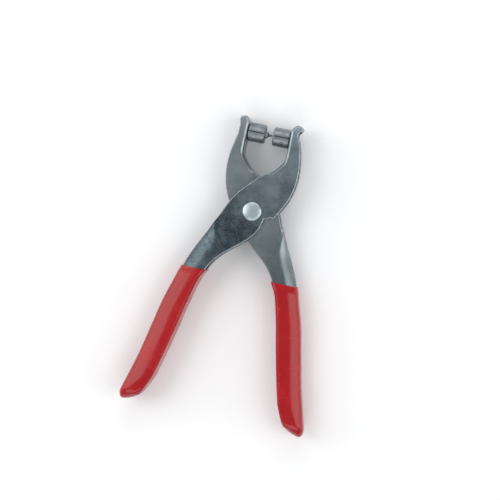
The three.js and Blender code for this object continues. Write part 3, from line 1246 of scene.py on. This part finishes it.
@dataclass
class Dies:
    """The two dies: each a stud riveted through the folded wall, in a split collar.

    The nose, the anvil and the peened tail are lists of [radius, height]. The tail's are shares
    of its own radius and length.
    """

    axis_height: float = 36.292
    face_gap: float = 3.9
    web_face: float = 9.95
    collar_radius: float = 4.4
    bore_in_collar: float = 2.8
    slot: float = 0.55
    chamfer: float = 0.4
    shank: float = 2.6
    tenon: float = 1.9
    tail: float = 2.9
    tail_length: float = 1.1
    tail_steps: tuple = ((0.0, 1.0), (0.6, 1.0), (0.88, 0.8), (1.0, 0.4), (1.0, 0.0))
    tail_gap: float = 0.1
    bore_chamfer: float = 0.25
    sheet: float = 1.5
    seat: float = 0.12
    steps: int = 72
    sharp: float = 38.0
    nose: tuple = (
        (1.7, 0.0), (1.55, 0.2), (1.5, 0.9), (1.3, 1.3), (0.75, 1.6), (0.6, 1.9), (0.5, 3.1),
        (0.3, 3.4), (0.0, 3.4),
    )
    anvil: tuple = ((2.4, 0.0), (2.15, -0.35), (1.9, -0.6), (1.9, -4.0), (0.0, -4.0))

    def length(self) -> float:
        """Gives the length from the die's face to the jaw's wall."""
        return self.web_face - self.seat - self.face_gap / 2

    def place(self, side: Side) -> Matrix:
        """Gives the place of a die whose face looks along +Z and whose slot is towards +X.

        Args:
            side: The lever that carries it.

        Returns:
            The matrix, in metres.
        """
        sign = 1 if side is Side.FRONT else -1
        spot = (sign * self.face_gap / 2 * MM, self.axis_height * MM, MID_HEIGHT * MM)
        turn = Matrix.Rotation(-sign * pi / 2, 4, "Y")
        flip = Matrix.Rotation(0.0 if side is Side.FRONT else pi, 4, "Z")
        return Matrix.Translation(spot) @ turn @ flip

    def back(self) -> Profile:
        """Gives the stud's profile.

        Returns:
            The profile, from the peened tail up to the edge of the face.
        """
        seat = -self.length()
        under = seat - self.seat - self.sheet - self.tail_gap
        return [
            *((self.tail * r, under - self.tail_length * h) for r, h in self.tail_steps),
            (self.tenon, under),
            (self.tenon, seat),
            (self.shank, seat),
            (self.shank, 0.0),
        ]

    def stud(self, front: tuple) -> Mesh:
        """Builds one stud about its own axis, from the profile of its front."""
        return rounded(turned_mesh([*self.back(), *front], self.steps), width=0.12)

    def collar(self) -> Mesh:
        """Builds one split collar, its slot towards +X.

        Returns:
            The collar, about its own axis.
        """
        low, outer, inner = -self.length(), self.collar_radius, self.bore_in_collar
        edge, lip = self.chamfer, self.bore_chamfer
        outside = [(outer - edge, low), (outer, low + edge), (outer, -edge), (outer - edge, 0.0)]
        profile = [(inner, low), *outside, (inner + lip, 0.0), (inner, -lip), (inner, low)]
        gap = 2 * asin(self.slot / 2 / outer)
        return rounded(turned_mesh(profile, self.steps, gap), width=0.08)

    def build(self) -> list[Object]:
        """Builds both dies: the nose on the rear jaw, the anvil on the front one.

        Returns:
            The two studs and the two collars.
        """
        made = []
        for side, node, kind, mesh in (
            (Side.REAR, "nose_die", "stud", self.stud(self.nose)),
            (Side.REAR, "nose_collar", "ring", self.collar()),
            (Side.FRONT, "anvil_die", "stud", self.stud(self.anvil)),
            (Side.FRONT, "anvil_collar", "ring", self.collar()),
        ):
            mesh = smooth_shaded(mesh, self.sharp)
            mesh.transform(self.place(side))
            obj = finish_object(f"{node}_{kind}", mesh, DIE_STEEL.build())
            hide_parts(node)
            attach(obj, side.value)
            made.append(obj)
        return made


@dataclass
class Studio:
    """The pale floor, the soft lights and the camera over the pliers. Its lengths are metres."""

    turn: float = radians(12.0)
    lean: float = radians(6.0)
    frame_width: float = 0.2307
    sensor: float = 36.0
    distance: float = 0.6
    aim: tuple = (0.0027, -0.0176, 0.014)
    room: Colour = (0.94, 0.97, 1.0, 1.0)
    room_strength: float = 0.4
    lights: tuple = (
        ("left", (-0.6, 0.05, 0.42), (0.55, 0.9), 3.2),
        ("right", (0.65, 0.0, 0.42), (0.55, 0.9), 2.9),
        ("back", (-0.1, 0.75, 0.6), (0.9, 0.5), 2.4),
        ("near", (0.1, -0.8, 0.7), (0.9, 0.5), 2.6),
    )

    def floor(self) -> None:
        """Lays the floor."""
        bm = bmesh.new()
        bmesh.ops.create_grid(bm, x_segments=2, y_segments=2, size=3.0)
        mesh = bpy.data.meshes.new("floor")
        bm.to_mesh(mesh)
        bm.free()
        obj = finish_object("floor", mesh, Paper("paper").build())

    def light(self, name: str, place: tuple, sizes: tuple, power: float) -> None:
        """Hangs one soft light that faces the pliers.

        Args:
            name: The light's name.
            place: Where it hangs.
            sizes: Its width and its height.
            power: Its power, in watts.
        """
        lamp = bpy.data.lights.new(name, "AREA")
        lamp.shape = "RECTANGLE"
        lamp.size, lamp.size_y = sizes
        lamp.energy = power
        obj = bpy.data.objects.new(name, lamp)
        obj.location = place
        away = Vector(self.aim) - Vector(place)
        obj.rotation_euler = away.to_track_quat("-Z", "Y").to_euler()
        bpy.context.scene.collection.objects.link(obj)

    def camera(self) -> None:
        """Sets the camera over the table, turned and leaning a little as the photograph is."""
        data = bpy.data.cameras.new("camera")
        data.sensor_width = self.sensor
        data.lens = self.sensor * self.distance / self.frame_width
        data.clip_start = 0.01
        obj = bpy.data.objects.new("camera", data)
        turned = Matrix.Rotation(self.turn, 4, "Z") @ Matrix.Rotation(self.lean, 4, "Y")
        back = Matrix.Translation((0.0, 0.0, self.distance))
        obj.matrix_world = Matrix.Translation(self.aim) @ turned @ back
        bpy.context.scene.collection.objects.link(obj)
        bpy.context.scene.camera = obj

    def world(self) -> None:
        """Sets the even light of the room."""
        world = bpy.data.worlds.new("room")
        world.use_nodes = True
        back = world.node_tree.nodes["Background"]
        back.inputs["Color"].default_value = self.room
        back.inputs["Strength"].default_value = self.room_strength
        bpy.context.scene.world = world

    def build(self) -> None:
        """Sets everything up."""
        self.floor()
        self.world()
        for light in self.lights:
            self.light(*light)
        self.camera()
        bpy.context.scene.view_settings.view_transform = "Standard"


def report(make: Callable[[], object]) -> None:
    """Runs one maker and logs each piece that it gives.

    Args:
        make: It gives a piece, or a list of pieces.
    """
    made = make()
    for piece in made if isinstance(made, list) else [made]:
        log.info("%s: %d faces", piece.name, len(piece.data.polygons))


def main() -> None:
    """Builds the pliers piece by piece, and then the studio."""
    front = Lever(Side.FRONT, FRONT_SHEET)
    rear = Lever(
        Side.REAR,
        REAR_SHEET,
        reach_extra=-0.6,
        hook=0.882,
        neck=0.86,
        jaw_fold=1.8,
        jaw_run=3.0,
        fold_spread=1.12,
    )
    pivot = Pivot()
    makers = (
        front.build,
        rear.build,
        Grip(front, start=30.8, outer_spread=1.75).build,
        Grip(rear).build,
        pivot.rivet,
        pivot.sleeve,
        pivot.spring,
        Dies().build,
    )
    for make in makers:
        report(make)
    Studio().build()


if __name__ == "__main__":
    main()
